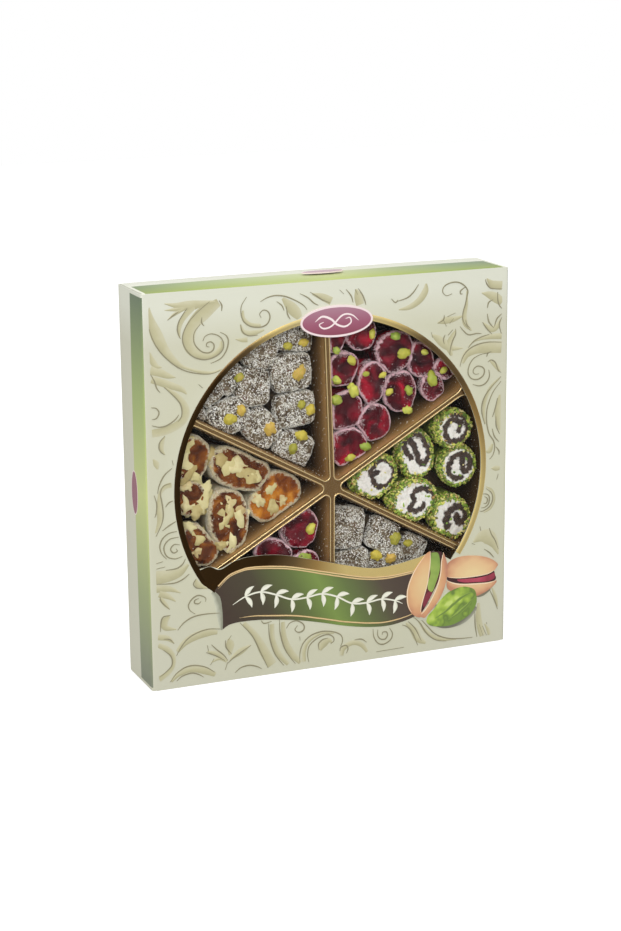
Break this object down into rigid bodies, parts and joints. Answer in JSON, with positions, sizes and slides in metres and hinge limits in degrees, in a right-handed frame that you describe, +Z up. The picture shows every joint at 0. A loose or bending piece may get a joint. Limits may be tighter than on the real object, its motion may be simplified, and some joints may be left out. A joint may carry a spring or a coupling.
{
  "type": "boxed turkish delight assortment",
  "caption": "Square gift carton of Turkish delight standing on edge, with a round film window over a tray of wedge-shaped cups filled with assorted sweets.",
  "frame": {"origin": "middle of the carton's base, at the surface it stands on", "axes": "+Z up along the height, the windowed front faces -Y, +X to the right as seen from the front"},
  "size_m": [0.236, 0.044, 0.24],
  "materials": {
    "printed_board": "cream coated cardboard, satin",
    "print": "printed ink on the carton: scrolls, bands, banner, labels and pictured nuts",
    "gold_foil": "hot-stamped gold foil, glossy",
    "clear_film": "clear window film, glossy",
    "gold_tray": "vacuum-formed gold plastic sheet, glossy",
    "coconut_jelly": "dark soft jelly",
    "coconut": "dry coconut shreds",
    "ruby_jelly": "clear dark red jelly with a powdered rim, moist gloss",
    "cream_roll": "white nougat with a cocoa swirl",
    "amber_jelly": "amber jelly with a powdered rim",
    "pistachio": "cut and chopped nuts, dry",
    "walnut": "pale walnut pieces, dry",
    "sugar": "sugar and starch powder, crumbs"
  },
  "bodies": {
    "root": {"carton": "printed_board", "window_film": "clear_film", "tray": "gold_tray", "coconut_cube_01": "coconut_jelly", "coconut_cube_02": "coconut_jelly", "coconut_cube_03": "coconut_jelly", "coconut_cube_04": "coconut_jelly", "coconut_cube_05": "coconut_jelly", "coconut_cube_06": "coconut_jelly", "coconut_cube_07": "coconut_jelly", "coconut_cube_08": "coconut_jelly", "coconut_cube_09": "coconut_jelly", "coconut_cube_10": "coconut_jelly", "coconut_cube_11": "coconut_jelly", "coconut_cube_12": "coconut_jelly", "coconut_cube_13": "coconut_jelly", "coconut_cube_14": "coconut_jelly", "coconut_cube_15": "coconut_jelly", "coconut_cube_16": "coconut_jelly", "ruby_slice_01": "ruby_jelly", "ruby_slice_02": "ruby_jelly", "ruby_slice_03": "ruby_jelly", "ruby_slice_04": "ruby_jelly", "ruby_slice_05": "ruby_jelly", "ruby_slice_06": "ruby_jelly", "ruby_slice_07": "ruby_jelly", "ruby_slice_08": "ruby_jelly", "ruby_slice_09": "ruby_jelly", "ruby_slice_10": "ruby_jelly", "ruby_slice_11": "ruby_jelly", "ruby_slice_12": "ruby_jelly", "ruby_slice_13": "ruby_jelly", "ruby_slice_14": "ruby_jelly", "ruby_slice_15": "ruby_jelly", "cream_roll_01": "cream_roll", "cream_roll_02": "cream_roll", "cream_roll_03": "cream_roll", "cream_roll_04": "cream_roll", "cream_roll_05": "cream_roll", "cream_roll_06": "cream_roll", "walnut_roll_01": "amber_jelly", "walnut_roll_02": "amber_jelly", "walnut_roll_03": "amber_jelly", "walnut_roll_04": "amber_jelly", "walnut_roll_05": "amber_jelly", "walnut_roll_06": "amber_jelly"}
  },
  "joints": []
}
